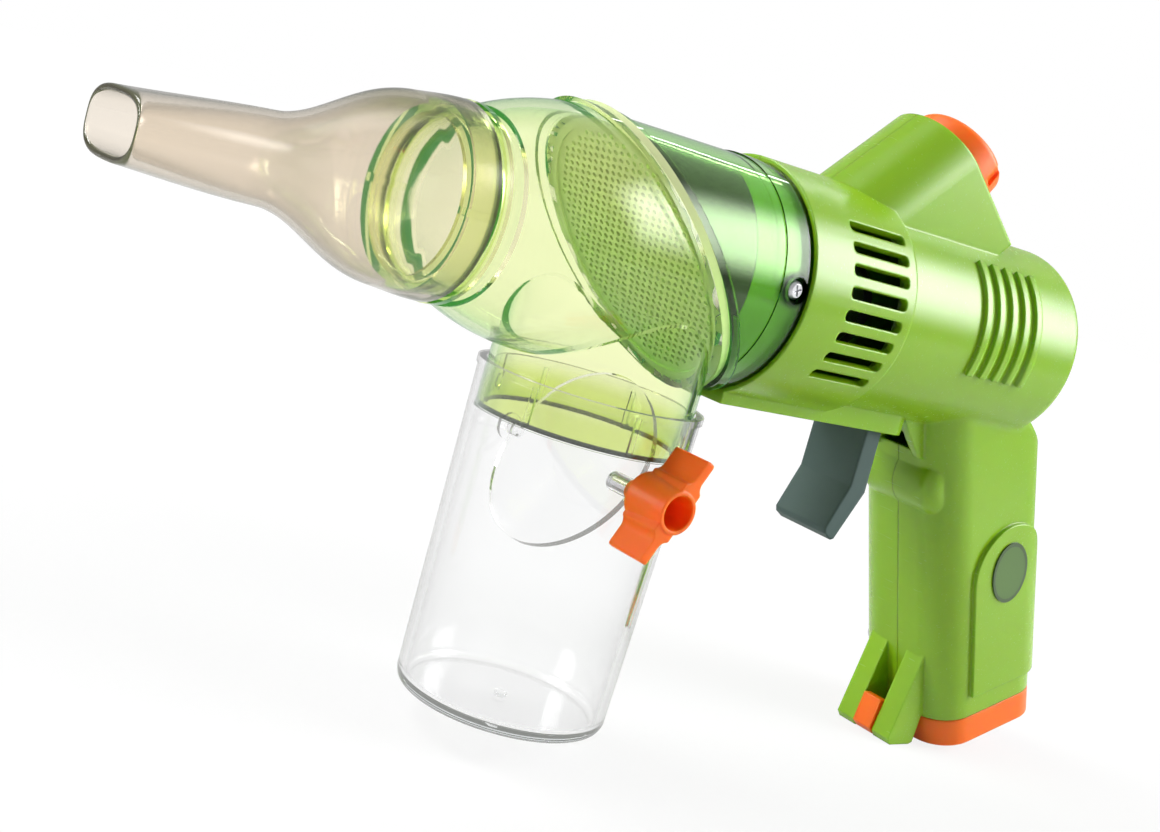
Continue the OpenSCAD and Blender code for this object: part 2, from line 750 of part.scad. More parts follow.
module trigger() {
    color(grey) difference() {
        union() {
            rotate([90, 0, 0]) linear_extrude(trigger_w, center = true)
                translate([slot_front, trigger_z])
                    polygon([[0.6, 1], [1.2, -18.6], [-3.5, -31], [-2.9, -32.4], [-0.2, -33.9], [1, -33.5],
                             [7.5, -19.8], [6.1, 1]]);
            // carriage inside the keel
            translate([slot_front - 2.5, -carriage_b, trigger_z]) cube([14, 2 * carriage_b, 7]);
        }
        // seat of the spring
        translate([spring_front, 0, trigger_z + 3.6]) rotate([0, 90, 0]) cylinder(h = 10, r = 3.1);
    }
}

// Coil spring along local z: wire radius w, coil radius r0 at the foot and r1 at the top
function wire_ring(r, z, a, w, k) = [for (i = [0 : k - 1]) let (b = 360 * i / k)
    [(r + w * cos(b)) * cos(a), (r + w * cos(b)) * sin(a), z + w * sin(b)]];

module coil(r0, r1, h, turns, w, steps = 16, k = 6) {
    m = turns * steps;
    points = [for (j = [0 : m], p = wire_ring(r0 + (r1 - r0) * j / m, w + (h - 2 * w) * j / m,
                                              360 * turns * j / m, w, k)) p];
    sides = [for (j = [0 : m - 1], i = [0 : k - 1]) let (i1 = (i + 1) % k)
        each [[j * k + i, j * k + i1, (j + 1) * k + i1], [j * k + i, (j + 1) * k + i1, (j + 1) * k + i]]];
    ends = [[for (i = [k - 1 : -1 : 0]) i], [for (i = [0 : k - 1]) m * k + i]];
    polyhedron(points, concat(sides, ends), convexity = 10);
}

module trigger_spring() {
    color(steel) translate([spring_front, 0, trigger_z + 3.6]) rotate([0, 90, 0])
        coil(2.3, 2.3, spring_rear - spring_front, 7, 0.35);
}

module trigger_switch() {
    color([0.1, 0.1, 0.11]) translate([spring_rear - 5.5, 3.6, trigger_z + 9]) {
        cube([12, 6, 6]);
        translate([-2.2, 1.8, 2]) cube([2.2, 2.4, 2]);
    }
}

module selector_dial() {
    color(orange) on_face(dial_t, 0) difference() {
        union() {
            translate([0, 0, 0.35]) rotate_extrude() {
                square([dial_r, dial_h - 2]);
                square([dial_r - 2, dial_h]);
                translate([dial_r - 2, dial_h - 2]) circle(2);
            }
            translate([0, 0, -7.5]) cylinder(h = 8, r = 3.5);
        }
        // pointer groove on the rim
        rotate([0, 0, -77]) translate([dial_r - 1.3, -1.6, 1.6]) cube([4, 3.2, 20]);
    }
}

module dial_switch() {
    color([0.1, 0.1, 0.11]) on_face(dial_t, -wall - 8.5) difference() {
        translate([-7, -7, 0]) cube([14, 14, 8.5]);
        translate([0, 0, 3]) cylinder(h = 10, r = 3.5 + play);
    }
}

// Batteries

module cell(row, side, up) {
    on_grip() translate([cell_row + row * cell_pitch / 2, side * cell_pitch / 2, cell_z])
        translate([0, 0, up ? 0 : cell_len + 1.2]) mirror([0, 0, up ? 0 : 1]) {
            cylinder(h = cell_len, r = cell_r);
            translate([0, 0, cell_len - eps]) cylinder(h = 1.2, r = 2.7);
        }
}

module cell_front_left() { color([0.75, 0.62, 0.35]) cell(-1, -1, true); }
module cell_front_right() { color([0.75, 0.62, 0.35]) cell(-1, 1, false); }
module cell_rear_left() { color([0.75, 0.62, 0.35]) cell(1, -1, false); }
module cell_rear_right() { color([0.75, 0.62, 0.35]) cell(1, 1, true); }

module contact_plates() {
    color(steel) on_grip() translate([0, 0, cell_z + cell_len + 1.25]) linear_extrude(0.6) intersection() {
        grip_section(wall + play);
        for (row = [-1, 1])
            translate([cell_row + row * cell_pitch / 2 - 6, -grip_b]) square([12, 2 * grip_b]);
    }
}

module base_slab(z0, z1) { on_base() translate([-150, -50, z0]) cube([300, 100, z1 - z0]); }

module battery_door() {
    color(orange) difference() {
        union() {
            intersection() {
                on_grip() translate([0, 0, -10]) linear_extrude(40) grip_section(0);
                base_slab(0, door_h);
            }
            // latch tab between the ribs
            on_grip() rotate([90, 0, 0]) linear_extrude(6.6, center = true)
                polygon([[-grip_a + 1, 5.5], [-grip_a - 7.5, 6.3], [-grip_a - 13.9, 8.4],
                         [-grip_a - 15.3, 11],
                         [-grip_a - 10.4, 18.6], [-grip_a - 8.1, 17.6], [-grip_a - 10.9, 12],
                         [-grip_a - 8.5, 10], [-grip_a + 1, 9]]);
            // hinge bead
            on_base() translate([hinge_x, 0, door_h + 0.15]) rotate([90, 0, 0])
                cylinder(h = 12, r = 1.3, center = true);
        }
        intersection() {
            on_grip() translate([0, 0, -10]) linear_extrude(60) grip_section(wall);
            base_slab(2, 40);
        }
    }
}

module door_contacts() {
    color(steel) on_base() for (side = [-1, 1]) {
        translate([cell_row - 13.7, side * cell_pitch / 2 - 5, 2]) cube([26, 10, 0.6]);
        for (row = [-1, 1]) translate([cell_row - 0.7 + row * cell_pitch / 2, side * cell_pitch / 2, 2.2])
            coil(4.4, 2.4, 10.4, 4, 0.4, 14, 5);
    }
}

housing_left();
housing_right();
housing_screws();
suction_chamber();
rear_sleeve();
insect_screen();
sleeve_screws();
fan_shroud();
motor_mount();
motor_can();
motor_end_cap();
motor_screws();
trigger_switch();
dial_switch();
cell_front_left();
cell_front_right();
cell_rear_left();
cell_rear_right();
contact_plates();
badge_inlay();
nozzle();
collecting_jar();
flap_disc();
flap_screw();
wing_knob();
trigger();
trigger_spring();
selector_dial();
impeller();
motor_shaft();
battery_door();
door_contacts();
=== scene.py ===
"""Looks of the insect aspirator: clear and lime plastics, controls, fan, cells and studio."""

import json
import logging
import math
from dataclasses import dataclass
from enum import Enum
from typing import Any, Dict, List, Optional, Sequence, Tuple

import bpy
from mathutils import Euler, Matrix, Vector

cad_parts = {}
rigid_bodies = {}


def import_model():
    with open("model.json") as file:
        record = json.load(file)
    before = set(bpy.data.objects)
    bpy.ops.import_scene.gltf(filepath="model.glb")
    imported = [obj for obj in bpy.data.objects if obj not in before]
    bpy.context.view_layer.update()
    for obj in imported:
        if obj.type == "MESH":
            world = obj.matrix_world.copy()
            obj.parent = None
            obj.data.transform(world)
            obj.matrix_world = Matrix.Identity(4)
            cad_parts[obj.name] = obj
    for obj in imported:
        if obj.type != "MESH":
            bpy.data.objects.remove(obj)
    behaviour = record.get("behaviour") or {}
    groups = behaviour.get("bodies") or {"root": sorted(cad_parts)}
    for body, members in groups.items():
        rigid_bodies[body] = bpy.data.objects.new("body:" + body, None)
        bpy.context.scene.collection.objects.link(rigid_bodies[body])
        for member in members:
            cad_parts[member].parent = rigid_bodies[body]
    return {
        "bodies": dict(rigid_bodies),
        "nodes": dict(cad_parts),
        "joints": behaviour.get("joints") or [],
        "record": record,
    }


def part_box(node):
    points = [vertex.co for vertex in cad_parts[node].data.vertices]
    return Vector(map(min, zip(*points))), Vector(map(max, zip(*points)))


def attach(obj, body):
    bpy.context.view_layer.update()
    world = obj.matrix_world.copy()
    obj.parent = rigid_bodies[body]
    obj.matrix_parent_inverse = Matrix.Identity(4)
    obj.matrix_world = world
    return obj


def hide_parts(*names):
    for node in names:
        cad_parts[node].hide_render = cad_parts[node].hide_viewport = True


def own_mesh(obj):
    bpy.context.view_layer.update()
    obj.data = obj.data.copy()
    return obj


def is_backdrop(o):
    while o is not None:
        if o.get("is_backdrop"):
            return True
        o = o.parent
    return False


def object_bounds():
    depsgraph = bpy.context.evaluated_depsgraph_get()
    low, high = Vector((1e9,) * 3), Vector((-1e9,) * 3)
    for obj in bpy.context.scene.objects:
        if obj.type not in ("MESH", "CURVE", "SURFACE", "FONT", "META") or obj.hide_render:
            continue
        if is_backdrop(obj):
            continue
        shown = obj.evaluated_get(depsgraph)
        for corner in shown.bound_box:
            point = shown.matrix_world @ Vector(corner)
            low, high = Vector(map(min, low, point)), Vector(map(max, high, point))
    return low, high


LOG = logging.getLogger("insect_aspirator")
Colour = Tuple[float, float, float]
Place = Tuple[float, float, float]
Frame = Dict[str, Any]
Socket = bpy.types.NodeSocket

# Slope of the grip and of the cells in it
GRIP_RAKE = math.radians(25.7)


def linear(red: int, green: int, blue: int) -> Colour:
    """Turns a screen colour into scene-linear values.

    Args:
        red: Red, 0 to 255.
        green: Green, 0 to 255.
        blue: Blue, 0 to 255.

    Returns:
        The three linear values.
    """
    def one(value: int) -> float:
        """Gives one channel in linear light."""
        part = value / 255.0
        return part / 12.92 if part <= 0.04045 else ((part + 0.055) / 1.055) ** 2.4
    return one(red), one(green), one(blue)


def rgba(colour: Sequence[float]) -> Tuple[float, float, float, float]:
    """Gives a colour its alpha."""
    return colour[0], colour[1], colour[2], 1.0


def between(start: float, end: float, share: float) -> float:
    """Gives the value at a share of the way from start to end."""
    return start + (end - start) * share


@dataclass
class Graph:
    """A node tree with short ways to add and join nodes."""

    tree: bpy.types.NodeTree

    def feed(self, socket: Socket, value: Any) -> None:
        """Links an output to an input, or sets the input's plain value.

        Args:
            socket: The input.
            value: An output socket or a plain value.
        """
        if isinstance(value, bpy.types.NodeSocket):
            self.tree.links.new(value, socket)
        else:
            socket.default_value = value

    def add(self, kind: str, inputs: Optional[Dict[Any, Any]] = None, **settings: Any) -> bpy.types.Node:
        """Adds a node.

        Args:
            kind: Blender's name of the node type.
            inputs: Plain values or output sockets by input name or number.
            settings: Attributes of the node.

        Returns:
            The new node.
        """
        node = self.tree.nodes.new(kind)
        for name, value in settings.items():
            setattr(node, name, value)
        for name, value in (inputs or {}).items():
            self.feed(node.inputs[name], value)
        return node

    def math(self, operation: str, a: Any, b: Any = 0.0, c: Any = 0.0, clamp: bool = False) -> Socket:
        """Adds a math node.

        Args:
            operation: Blender's name of the operation.
            a: First value or socket.
            b: Second value or socket.
            c: Third value or socket.
            clamp: Whether the result stays between 0 and 1.

        Returns:
            The result's socket.
        """
        node = self.add("ShaderNodeMath", {0: a, 1: b, 2: c}, operation=operation, use_clamp=clamp)
        return node.outputs[0]

    def vector(self, operation: str, a: Any, b: Any = (0.0, 0.0, 0.0)) -> bpy.types.Node:
        """Adds a vector math node.

        Args:
            operation: Blender's name of the operation.
            a: First vector or socket.
            b: Second vector or socket.

        Returns:
            The new node.
        """
        return self.add("ShaderNodeVectorMath", {0: a, 1: b}, operation=operation)

    def mix(self, factor: Any, a: Any, b: Any) -> Socket:
        """Blends two colours.

        Args:
            factor: Share of the second colour.
            a: First colour, as RGBA or a socket.
            b: Second colour, as RGBA or a socket.

        Returns:
            The blended colour's socket.
        """
        node = self.add("ShaderNodeMix", data_type="RGBA")
        for number, value in ((0, factor), (6, a), (7, b)):
            self.feed(node.inputs[number], value)
        return node.outputs[2]

    def ease(self, value: Any, start: Any, end: Any) -> Socket:
        """Gives a smooth step.

        Args:
            value: The running value.
            start: Where the result is 0.
            end: Where the result is 1, on either side of the start.

        Returns:
            The result's socket.
        """
        node = self.add("ShaderNodeMapRange", {"Value": value, "From Min": start, "From Max": end},
                        interpolation_type="SMOOTHSTEP")
        return node.outputs[0]

    def place(self) -> Socket:
        """Gives the place on the piece."""
        return self.add("ShaderNodeTexCoord").outputs["Object"]

    def axes(self, vector: Socket) -> bpy.types.Node:
        """Splits a vector into X, Y and Z."""
        return self.add("ShaderNodeSeparateXYZ", {0: vector})

    def group(self, tree: bpy.types.NodeTree, inputs: Dict[str, Any]) -> bpy.types.Node:
        """Places a shared shader group with its own values."""
        return self.add("ShaderNodeGroup", inputs, node_tree=tree)


class Effects:
    """Shader groups that several finishes share."""

    slow_scale: float = 28.0
    fleck_share: float = 0.05
    dust_scale: float = 55.0
    dust_from: float = 0.45
    dust_gain: float = 2.4
    side_dust: float = 0.7
    up_dust: float = 0.3
    hair_turn: Place = (0.4, 0.9, 0.3)
    hair_scale: Place = (2200.0, 90.0, 1500.0)
    hair_from: float = 0.69

    def __init__(self) -> None:
        """Builds the groups once."""
        self.grain = self._grain()
        self.near = self._near()
        self.seam = self._seam()
        self.dust = self._dust()

    @staticmethod
    def _new(name: str, inputs: Dict[str, Any], outputs: Sequence[str]
             ) -> Tuple[Graph, bpy.types.Node, bpy.types.Node]:
        """Makes an empty group with its sockets.

        Args:
            name: Name of the group.
            inputs: Default of each input by its name, a number or a vector.
            outputs: Names of the outputs, which are all plain values.

        Returns:
            The group's graph, and its input and output nodes.
        """
        tree = bpy.data.node_groups.new(name, "ShaderNodeTree")
        for label, default in inputs.items():
            kind = "NodeSocketFloat" if isinstance(default, float) else "NodeSocketVector"
            socket = tree.interface.new_socket(name=label, in_out="INPUT", socket_type=kind)
            socket.default_value = default
        for label in outputs:
            tree.interface.new_socket(name=label, in_out="OUTPUT", socket_type="NodeSocketFloat")
        graph = Graph(tree)
        return graph, graph.add("NodeGroupInput"), graph.add("NodeGroupOutput")

    def _grain(self) -> bpy.types.NodeTree:
        """Fine moulded grain with a slow wave, as height and as a roughness value."""
        g, source, sink = self._new(
            "moulded_grain", {"Scale": 900.0, "Wave": 0.3, "Rough": 0.35, "Spread": 0.06},
            ["Height", "Roughness", "Slow"])
        place = g.place()
        fine = g.add("ShaderNodeTexNoise", {"Vector": place, "Scale": source.outputs["Scale"],
                                            "Detail": 3.0, "Roughness": 0.55}).outputs[0]
        slow = g.add("ShaderNodeTexNoise", {"Vector": place, "Scale": self.slow_scale,
                                            "Detail": 2.0}).outputs[0]
        height = g.math("MULTIPLY_ADD", slow, source.outputs["Wave"], fine)
        off = g.math("SUBTRACT", slow, 0.5)
        rough = g.math("MULTIPLY_ADD", off, source.outputs["Spread"], source.outputs["Rough"])
        fleck = g.math("MULTIPLY_ADD", g.math("SUBTRACT", fine, 0.5), self.fleck_share, rough, clamp=True)
        g.feed(sink.inputs["Height"], height)
        g.feed(sink.inputs["Roughness"], fleck)
        g.feed(sink.inputs["Slow"], slow)
        return g.tree

    def _near(self) -> bpy.types.NodeTree:
        """Mask that is 1 at a place, and at its mirror image in the mid-plane, and fades out around it."""
        g, source, sink = self._new("near_place", {"Place": (0.0, 0.0, 0.0), "Reach": 0.01}, ["Mask"])
        folded = g.vector("ABSOLUTE", g.place()).outputs[0]
        away = g.vector("DISTANCE", folded, source.outputs["Place"]).outputs["Value"]
        g.feed(sink.inputs["Mask"], g.ease(away, source.outputs["Reach"], 0.0))
        return g.tree

    def _seam(self) -> bpy.types.NodeTree:
        """Thin parting line along the mid-plane, up to a height."""
        g, source, sink = self._new("parting_line", {"Half width": 0.0002, "Top": 1.0}, ["Line"])
        place = g.axes(g.place())
        share = g.math("DIVIDE", g.math("ABSOLUTE", place.outputs["Y"]), source.outputs["Half width"])
        below = g.math("LESS_THAN", place.outputs["Z"], source.outputs["Top"])
        line = g.math("MULTIPLY", g.math("SUBTRACT", 1.0, share, clamp=True), below)
        g.feed(sink.inputs["Line"], line)
        return g.tree

    def _dust(self) -> bpy.types.NodeTree:
        """Faint handling marks and settled dust, more on faces that look up."""
        g, source, sink = self._new("handling_marks", {"Amount": 0.2}, ["Mask", "Scuff"])
        place = g.place()
        cloud = g.add("ShaderNodeTexNoise", {"Vector": place, "Scale": self.dust_scale, "Detail": 5.0,
                                             "Roughness": 0.62}).outputs[0]
        normal = g.axes(g.add("ShaderNodeNewGeometry").outputs["Normal"])
        lift = g.math("MULTIPLY_ADD", normal.outputs["Z"], self.up_dust, self.side_dust, clamp=True)
        spots = g.math("MULTIPLY", g.math("SUBTRACT", cloud, self.dust_from), self.dust_gain, clamp=True)
        mask = g.math("MULTIPLY", g.math("MULTIPLY", spots, lift), source.outputs["Amount"])
        stretch = g.add("ShaderNodeMapping", {"Vector": place, "Rotation": self.hair_turn,
                                              "Scale": self.hair_scale}).outputs[0]
        hair = g.add("ShaderNodeTexNoise", {"Vector": stretch, "Scale": 1.0, "Detail": 2.0}).outputs[0]
        scuff = g.math("MULTIPLY", g.math("GREATER_THAN", hair, self.hair_from), source.outputs["Amount"])
        g.feed(sink.inputs["Mask"], mask)
        g.feed(sink.inputs["Scuff"], scuff)
        return g.tree


def new_material(name: str) -> Tuple[bpy.types.Material, Graph, bpy.types.Node]:
    """Makes an empty node material.

    Args:
        name: Name of the finish.

    Returns:
        The material, its graph and its output node.
    """
    material = bpy.data.materials.new(name)
    material.use_nodes = True
    graph = Graph(material.node_tree)
    graph.tree.nodes.clear()
    return material, graph, graph.add("ShaderNodeOutputMaterial")


class Grain(Enum):
    """Surface grain of a moulded piece, as the scale of its noise and its depth in metres."""

    POLISHED = (500.0, 0.000004)
    SATIN = (1400.0, 0.000008)
    SPARK = (2600.0, 0.00003)


@dataclass(frozen=True)
class MouldedPlastic:
    """Opaque moulded plastic with softened edges, grain, marks and, on the housing, a parting line.

    The edge is softer around fillet_place, where two forms run into each other.
    """

    name: str
    colour: Colour
    shade: Colour
    rough: float = 0.36
    spread: float = 0.08
    grain: Grain = Grain.SATIN
    edge: float = 0.0006
    glow: float = 0.0
    glow_reach: Colour = (0.4, 1.0, 0.2)
    glow_depth: float = 0.003
    gloss: float = 0.5
    marks: float = 0.12
    marks_cover: float = 0.5
    scuff_rough: float = 0.5
    fillet: float = 0.0
    fillet_place: Place = (0.0, 0.0, 0.0)
    fillet_reach: float = 0.03
    seam: float = 0.0
    seam_top: float = 1.0
    seam_cover: float = 0.55
    seam_dark: float = 0.42
    seam_depth: float = 14.0

    def build(self, effects: Effects) -> bpy.types.Material:
        """Builds the material.

        Args:
            effects: The shared shader groups.

        Returns:
            The finished material.
        """
        material, g, output = new_material(self.name)
        scale, depth = self.grain.value
        grain = g.group(effects.grain, {"Scale": scale, "Rough": self.rough, "Spread": self.spread})
        marks = g.group(effects.dust, {"Amount": self.marks})
        tone = g.math("MULTIPLY_ADD", grain.outputs["Slow"], 0.5, 0.1, clamp=True)
        colour = g.mix(tone, rgba(self.colour), rgba(self.shade))
        dusty = [min(1.0, 0.75 * c + 0.22) for c in self.colour]
        colour = g.mix(g.math("MULTIPLY", marks.outputs["Mask"], self.marks_cover), colour, rgba(dusty))
        height = grain.outputs["Height"]
        if self.seam:
            line = g.group(effects.seam, {"Half width": self.seam, "Top": self.seam_top}).outputs["Line"]
            dark = [self.seam_dark * c for c in self.shade]
            colour = g.mix(g.math("MULTIPLY", line, self.seam_cover), colour, rgba(dark))
            height = g.math("MULTIPLY_ADD", line, -self.seam_depth, height)
        edge: Any = self.edge
        if self.fillet:
            near = g.group(effects.near, {"Place": self.fillet_place, "Reach": self.fillet_reach})
            edge = g.math("MULTIPLY_ADD", near.outputs["Mask"], self.fillet - self.edge, self.edge)
        soft = g.add("ShaderNodeBevel", {"Radius": edge}, samples=8)
        bump = g.add("ShaderNodeBump", {"Strength": 0.6, "Distance": depth, "Height": height,
                                        "Normal": soft.outputs[0]})
        scuff = g.math("MULTIPLY", marks.outputs["Scuff"], self.scuff_rough)
        shader = g.add("ShaderNodeBsdfPrincipled", {
            "Base Color": colour, "Roughness": g.math("ADD", grain.outputs["Roughness"], scuff), "IOR": 1.5,
            "Normal": bump.outputs[0], "Specular IOR Level": self.gloss, "Subsurface Weight": self.glow,
            "Subsurface Radius": self.glow_reach, "Subsurface Scale": self.glow_depth})
        g.feed(output.inputs["Surface"], shader.outputs[0])
        return material


class Axis(Enum):
    """Axis of the shared frame."""

    ALONG = "X"
    UP = "Z"


@dataclass(frozen=True)
class Band:
    """Part of a clear piece where the wall has another tint, from its start to the place of its full tint."""

    axis: Axis
    start: float
    full: float
    tint: Colour


@dataclass(frozen=True)
class ClearPlastic:
    """Transparent moulded plastic whose body colour comes from the depth of the wall.

    The tint turns deeper where the wall is seen edge-on, and changes in its bands, at thick parts and at
    rims; some finishes use the bands to paint light and shade. Near a screw the recess is darkened with
    painted shade.
    A ray that has bounced between its glossy faces more than a few times ends in a painted glow of the
    trapped colour.
    """

    name: str
    tint: Colour
    edge_tint: Colour
    depth_colour: Colour
    density: float
    rough: float = 0.03
    ior: float = 1.42
    clear: float = 1.0
    wave_scale: float = 160.0
    wave: float = 2.0
    wave_depth: float = 0.00002
    marks: float = 0.1
    marks_rough: float = 0.3
    marks_tint: float = 0.93
    edge_reach: float = 0.35
    edge_fall: float = 2.0
    bands: Tuple[Band, ...] = ()
    recess: Place = (0.0, 0.0, 0.0)
    recess_reach: float = 0.0
    recess_gain: float = 3.0
    recess_painted_shade: Colour = (0.03, 0.09, 0.05)
    painted_trapped_glow: Colour = (0.36, 0.36, 0.34)
    trapped_after: float = 2.5

    def build(self, effects: Effects) -> bpy.types.Material:
        """Builds the material.

        Args:
            effects: The shared shader groups.

        Returns:
            The finished material.
        """
        material, g, output = new_material(self.name)
        grain = g.group(effects.grain, {"Scale": self.wave_scale, "Wave": self.wave, "Rough": self.rough,
                                        "Spread": 0.04})
        marks = g.group(effects.dust, {"Amount": self.marks}).outputs["Mask"]
        bump = g.add("ShaderNodeBump", {"Strength": 0.5, "Distance": self.wave_depth,
                                        "Height": grain.outputs["Height"]})
        rough = g.math("ADD", grain.outputs["Roughness"], g.math("MULTIPLY", marks, self.marks_rough))
        tint: Any = rgba(self.tint)
        place = g.axes(g.place())
        for band in self.bands:
            share = g.ease(place.outputs[band.axis.value], band.start, band.full)
            tint = g.mix(share, tint, rgba(band.tint))
        facing = g.add("ShaderNodeLayerWeight", {"Blend": self.edge_reach}).outputs["Facing"]
        tint = g.mix(g.math("POWER", facing, self.edge_fall), tint, rgba(self.edge_tint))
        # Painted shade: around a screw the tint darkens into the recess's dark colour.
        if self.recess_reach > 0.0:
            near = g.group(effects.near, {"Place": self.recess, "Reach": self.recess_reach})
            ring = g.math("MULTIPLY", near.outputs["Mask"], self.recess_gain, clamp=True)
            tint = g.mix(ring, tint, rgba(self.recess_painted_shade))
        colour = g.mix(marks, tint, rgba([self.marks_tint * c for c in self.tint]))
        shader = g.add("ShaderNodeBsdfPrincipled", {
            "Base Color": colour, "Roughness": rough, "IOR": self.ior, "Transmission Weight": self.clear,
            "Normal": bump.outputs[0]})
        depth = g.add("ShaderNodeVolumeAbsorption", {"Color": rgba(self.depth_colour),
                                                     "Density": self.density})
        # Painted glow: after more glossy bounces than trapped_after, the surface emits the trapped colour
        # instead of scattering on.
        bounces = g.add("ShaderNodeLightPath").outputs["Glossy Depth"]
        lost = g.math("GREATER_THAN", bounces, self.trapped_after)
        painted_glow = g.add("ShaderNodeEmission", {"Color": rgba(self.painted_trapped_glow)})
        both = g.add("ShaderNodeMixShader", {0: lost, 1: shader.outputs[0], 2: painted_glow.outputs[0]})
        g.feed(output.inputs["Surface"], both.outputs[0])
        g.feed(output.inputs["Volume"], depth.outputs[0])
        return material


@dataclass(frozen=True)
class PlatedMetal:
    """Zinc-plated or drawn steel with fine turning lines."""

    name: str
    colour: Colour
    rough: float = 0.28
    spread: float = 0.18
    lines: float = 3800.0
    lines_depth: float = 0.000006
    marks: float = 0.35
    tarnish: float = 0.55
    edge: float = 0.00015

    def build(self, effects: Effects) -> bpy.types.Material:
        """Builds the material.

        Args:
            effects: The shared shader groups.

        Returns:
            The finished material.
        """
        material, g, output = new_material(self.name)
        grain = g.group(effects.grain, {"Scale": self.lines, "Rough": self.rough, "Spread": self.spread})
        marks = g.group(effects.dust, {"Amount": self.marks})
        dull = [self.tarnish * c for c in self.colour]
        colour = g.mix(marks.outputs["Mask"], rgba(self.colour), rgba(dull))
        soft = g.add("ShaderNodeBevel", {"Radius": self.edge}, samples=4)
        bump = g.add("ShaderNodeBump", {"Strength": 0.5, "Distance": self.lines_depth,
                                        "Height": grain.outputs["Height"], "Normal": soft.outputs[0]})
        shader = g.add("ShaderNodeBsdfPrincipled", {
            "Base Color": colour, "Metallic": 1.0, "Roughness": grain.outputs["Roughness"],
            "Normal": bump.outputs[0]})
        g.feed(output.inputs["Surface"], shader.outputs[0])
        return material


@dataclass(frozen=True)
class CellJacket:
    """Plain printed jacket of a battery cell: dark body with a copper band and a bare cap at its plus end."""

    name: str
    plus_end: Place
    along: Place
    band: float = 0.016
    cap: float = 0.0016
    body_colour: Colour = (0.012, 0.012, 0.013)
    band_colour: Colour = (0.55, 0.21, 0.06)
    cap_colour: Colour = (0.66, 0.66, 0.68)
    rough: float = 0.3
    grain_depth: float = 0.000006

    def build(self, effects: Effects) -> bpy.types.Material:
        """Builds the material.

        Args:
            effects: The shared shader groups.

        Returns:
            The finished material.
        """
        material, g, output = new_material(self.name)
        away = g.vector("SUBTRACT", g.place(), self.plus_end).outputs[0]
        run = g.vector("DOT_PRODUCT", away, self.along).outputs["Value"]
        copper = g.math("LESS_THAN", run, self.band)
        bare = g.math("LESS_THAN", run, self.cap)
        grain = g.group(effects.grain, {"Rough": self.rough})
        colour = g.mix(copper, rgba(self.body_colour), rgba(self.band_colour))
        colour = g.mix(bare, colour, rgba(self.cap_colour))
        bump = g.add("ShaderNodeBump", {"Strength": 0.3, "Distance": self.grain_depth,
                                        "Height": grain.outputs["Height"]})
        shader = g.add("ShaderNodeBsdfPrincipled", {
            "Base Color": colour, "Roughness": grain.outputs["Roughness"],
            "Metallic": g.math("MAXIMUM", copper, bare), "Normal": bump.outputs[0]})
        g.feed(output.inputs["Surface"], shader.outputs[0])
        return material


@dataclass(frozen=True)
class PlainInlay:
    """Plain oval inlay: green field inside a darker rim."""

    name: str
    centre: Place
    up: Place
    back: Place
    half_width: float = 0.0074
    half_height: float = 0.0095
    rim_from: float = 0.76
    rim_height: float = 20.0
    field_colour: Colour = linear(86, 122, 54)
    field_shade: Colour = linear(68, 98, 44)
    rim_colour: Colour = linear(60, 84, 46)
    rough: float = 0.32
    grain_scale: float = 700.0
    grain_depth: float = 0.00001

    def build(self, effects: Effects) -> bpy.types.Material:
        """Builds the material.

        Args:
            effects: The shared shader groups.

        Returns:
            The finished material.
        """
        material, g, output = new_material(self.name)
        away = g.vector("SUBTRACT", g.place(), self.centre).outputs[0]

        def share(axis: Place, half: float) -> Socket:
            """Gives the squared share of the way to the rim along an axis."""
            run = g.vector("DOT_PRODUCT", away, axis).outputs["Value"]
            return g.math("POWER", g.math("DIVIDE", g.math("ABSOLUTE", run), half), 2.0)

        ring = g.math("ADD", share(self.up, self.half_height), share(self.back, self.half_width))
        rim = g.math("GREATER_THAN", ring, self.rim_from)
        grain = g.group(effects.grain, {"Scale": self.grain_scale, "Rough": self.rough})
        inner = g.mix(grain.outputs["Slow"], rgba(self.field_colour), rgba(self.field_shade))
        colour = g.mix(rim, inner, rgba(self.rim_colour))
        height = g.math("MULTIPLY_ADD", rim, self.rim_height, grain.outputs["Height"])
        bump = g.add("ShaderNodeBump", {"Strength": 0.6, "Distance": self.grain_depth, "Height": height})
        shader = g.add("ShaderNodeBsdfPrincipled", {
            "Base Color": colour, "Roughness": grain.outputs["Roughness"], "Normal": bump.outputs[0]})
        g.feed(output.inputs["Surface"], shader.outputs[0])
        return material


def dress(frame: Frame, material: bpy.types.Material, names: Sequence[str]) -> None:
    """Gives nodes of the frame a material.

    Args:
        material: The finish.
        names: Names of the nodes.
    """
    for name in names:
        mesh = frame["nodes"][name].data
        mesh.materials.clear()
        mesh.materials.append(material)
        LOG.info("%s: %s", name, material.name)


def put_in_scene(name: str, data: Any) -> bpy.types.Object:
    """Makes an object and links it to the scene.

    Args:
        name: Name of the object.
        data: Its mesh, lamp or camera.

    Returns:
        The new object.
    """
    made = bpy.data.objects.new(name, data)
    bpy.context.scene.collection.objects.link(made)
    return made


